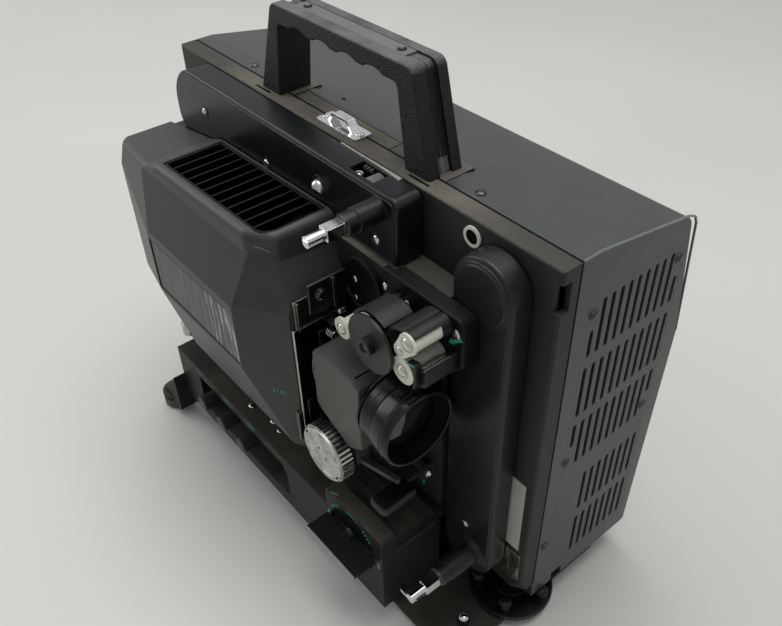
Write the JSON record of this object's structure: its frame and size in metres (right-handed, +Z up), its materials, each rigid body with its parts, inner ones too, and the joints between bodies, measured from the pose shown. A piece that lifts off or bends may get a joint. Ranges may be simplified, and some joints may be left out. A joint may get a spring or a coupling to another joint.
{
  "type": "movie projector",
  "caption": "Portable film projector with swinging reel arms, lamp house with vents, film path with rollers and gate, sliding lens, inching knob, carrying handle and screw-raised front foot",
  "frame": {"origin": "on the table under the middle of the bounding box, with the front foot screwed right in", "axes": "+X points the way the lens projects, +Z up, -Y is the operator's side with the lamp house, film path and controls"},
  "size_m": [0.4058, 0.225, 0.4044],
  "materials": {
    "casting_paint": "satin, fine texture",
    "housing_paint": "satin, fine texture",
    "black_paint": "satin",
    "grille_paint": "satin",
    "chrome": "polished",
    "steel": "polished",
    "handle_plastic": "pebbled",
    "black_plastic": "satin",
    "white_plastic": "satin",
    "nameplate_metal": "brushed",
    "pale_label": "satin",
    "lens_block": "satin",
    "lens_black": "satin",
    "lens_glass": "coated",
    "lamp_glass": "clear",
    "rubber": "matte",
    "knob_metal": "machined",
    "motor_paint": "satin"
  },
  "bodies": {
    "projector_body": {"main_frame": "casting_paint", "rear_housing": "housing_paint", "front_grille": "grille_paint", "chrome_screws": "chrome", "handle_front_shell": "handle_plastic", "handle_rear_shell": "handle_plastic", "handle_cap": "black_plastic", "lid_catch": "chrome", "lamp_house_cover": "housing_paint", "lamp_vent_grille": "black_paint", "lamp_nameplate": "nameplate_metal", "projection_lamp": "lamp_glass", "lamp_socket": "black_plastic", "mechanism_plate": "casting_paint", "guard_drum": "casting_paint", "sprocket_guard": "steel", "film_shoe": "steel", "film_guides": "steel", "roller_keeper": "white_plastic", "steel_pins": "steel", "aperture_plate": "steel", "arm_pivots": "steel", "base_beam": "casting_paint", "bottom_pan": "black_paint", "rear_feet": "rubber", "ring_badge": "chrome", "data_plate": "pale_label", "side_latch": "steel", "motor": "motor_paint", "drive_belt": "rubber", "transformer": "motor_paint", "power_inlet": "black_plastic"},
    "take_up_swing": {"take_up_arm": "black_paint", "take_up_arm_screws": "chrome"},
    "feed_swing": {"feed_arm": "black_paint"},
    "take_up_shaft": {"take_up_spindle": "chrome"},
    "take_up_tip": {"take_up_latch": "chrome"},
    "feed_shaft": {"feed_spindle": "chrome"},
    "feed_tip": {"feed_latch": "chrome"},
    "main_drive": {"inching_knob": "knob_metal", "main_shaft": "steel"},
    "film_sprocket": {"sprocket": "steel"},
    "shutter_disc": {"shutter": "black_paint"},
    "rotor": {"motor_rotor": "steel"},
    "lower_roller": {"low_roller": "white_plastic"},
    "upper_roller": {"small_roller": "white_plastic"},
    "gate_carrier": {"lens_carrier": "lens_block", "pressure_plate": "steel"},
    "lens": {"lens_barrel": "lens_black", "lens_glass": "lens_glass"},
    "loop_setter": {"loop_lever": "black_plastic"},
    "mode_selector": {"selector_knob": "black_plastic"},
    "left_control": {"left_control_knob": "black_plastic"},
    "middle_control": {"middle_control_knob": "black_plastic"},
    "right_control": {"right_control_knob": "black_plastic"},
    "framing": {"frame_lever": "steel"},
    "lamp_screw": {"lamp_thumbscrew": "steel"},
    "front_foot": {"elevation_plate": "black_paint", "plate_feet": "rubber"},
    "height_wheel": {"elevation_wheel": "black_plastic"}
  },
  "joints": [
    {"name": "take_up_arm_pivot", "type": "hinge", "parent": "projector_body", "child": "take_up_swing", "pos_m": [-0.1501, -0.0285, 0.3075], "axis": [0, -1, 0], "range_deg": [0, 150]},
    {"name": "feed_arm_pivot", "type": "hinge", "parent": "projector_body", "child": "feed_swing", "pos_m": [0.1549, -0.0265, 0.3085], "axis": [0, -1, 0], "range_deg": [0, 150]},
    {"name": "take_up_spindle_turn", "type": "hinge", "parent": "take_up_swing", "child": "take_up_shaft", "pos_m": [0.0725, -0.0625, 0.3265], "axis": [0, -1, 0], "continuous": true},
    {"name": "take_up_latch_fold", "type": "hinge", "parent": "take_up_shaft", "child": "take_up_tip", "pos_m": [0.0725, -0.0886, 0.3265], "axis": [0, 0, 1], "range_deg": [0, 90]},
    {"name": "feed_spindle_turn", "type": "hinge", "parent": "feed_swing", "child": "feed_shaft", "pos_m": [0.1612, -0.0625, 0.0775], "axis": [0, -1, 0], "continuous": true},
    {"name": "feed_latch_fold", "type": "hinge", "parent": "feed_shaft", "child": "feed_tip", "pos_m": [0.1612, -0.0906, 0.0775], "axis": [0, 0, 1], "range_deg": [0, 90]},
    {"name": "main_shaft_turn", "type": "hinge", "parent": "projector_body", "child": "main_drive", "pos_m": [0.0707, -0.0625, 0.1485], "axis": [0, -1, 0], "continuous": true},
    {"name": "sprocket_turn", "type": "hinge", "parent": "projector_body", "child": "film_sprocket", "pos_m": [0.1099, -0.0625, 0.268], "axis": [0, -1, 0], "continuous": true},
    {"name": "shutter_turn", "type": "hinge", "parent": "projector_body", "child": "shutter_disc", "pos_m": [0.0289, -0.0485, 0.19], "axis": [1, 0, 0], "continuous": true},
    {"name": "rotor_turn", "type": "hinge", "parent": "projector_body", "child": "rotor", "pos_m": [-0.0393, 0.0375, 0.1085], "axis": [0, -1, 0], "continuous": true},
    {"name": "lower_roller_turn", "type": "hinge", "parent": "projector_body", "child": "lower_roller", "pos_m": [0.1359, -0.0625, 0.264], "axis": [0, -1, 0], "continuous": true},
    {"name": "upper_roller_turn", "type": "hinge", "parent": "projector_body", "child": "upper_roller", "pos_m": [0.0784, -0.0625, 0.258], "axis": [0, -1, 0], "continuous": true},
    {"name": "gate_opening", "type": "slide", "parent": "projector_body", "child": "gate_carrier", "axis": [1, 0, 0], "range_m": [0, 0.01]},
    {"name": "lens_focus", "type": "slide", "parent": "gate_carrier", "child": "lens", "axis": [1, 0, 0], "range_m": [0, 0.008]},
    {"name": "loop_lever_tilt", "type": "hinge", "parent": "projector_body", "child": "loop_setter", "pos_m": [0.1139, -0.042, 0.136], "axis": [1, 0, 0], "range_deg": [0, 18], "stiffness_Nm_per_rad": 0.06, "springref_deg": -22.92},
    {"name": "selector_turn", "type": "hinge", "parent": "projector_body", "child": "mode_selector", "pos_m": [0.0969, -0.0925, 0.077], "axis": [0, -1, 0], "range_deg": [-60, 60]},
    {"name": "left_control_turn", "type": "hinge", "parent": "projector_body", "child": "left_control", "pos_m": [-0.1101, -0.0925, 0.061], "axis": [0, -1, 0], "range_deg": [-150, 150]},
    {"name": "middle_control_turn", "type": "hinge", "parent": "projector_body", "child": "middle_control", "pos_m": [-0.0781, -0.0925, 0.061], "axis": [0, -1, 0], "range_deg": [-150, 150]},
    {"name": "right_control_turn", "type": "hinge", "parent": "projector_body", "child": "right_control", "pos_m": [-0.0461, -0.0925, 0.061], "axis": [0, -1, 0], "range_deg": [-150, 150]},
    {"name": "framing_shift", "type": "slide", "parent": "projector_body", "child": "framing", "axis": [0, 0, 1], "range_m": [-0.003, 0.003]},
    {"name": "lamp_screw_turn", "type": "hinge", "parent": "projector_body", "child": "lamp_screw", "pos_m": [-0.1561, -0.0805, 0.12], "axis": [0, 0, 1], "continuous": true},
    {"name": "front_foot_height", "type": "slide", "parent": "projector_body", "child": "front_foot", "axis": [0, 0, -1], "range_m": [0, 0.02]},
    {"name": "height_wheel_turn", "type": "hinge", "parent": "front_foot", "child": "height_wheel", "pos_m": [0.1705, 0.0034, 0.02], "axis": [0, 0, 1], "continuous": true}
  ],
  "couplings": [
    {"joint": "sprocket_turn", "follows": "main_shaft_turn", "ratio": 0.25},
    {"joint": "shutter_turn", "follows": "main_shaft_turn", "ratio": 1},
    {"joint": "rotor_turn", "follows": "main_shaft_turn", "ratio": 2.4},
    {"joint": "height_wheel_turn", "follows": "front_foot_height", "rad_per_m": 1570.8}
  ]
}
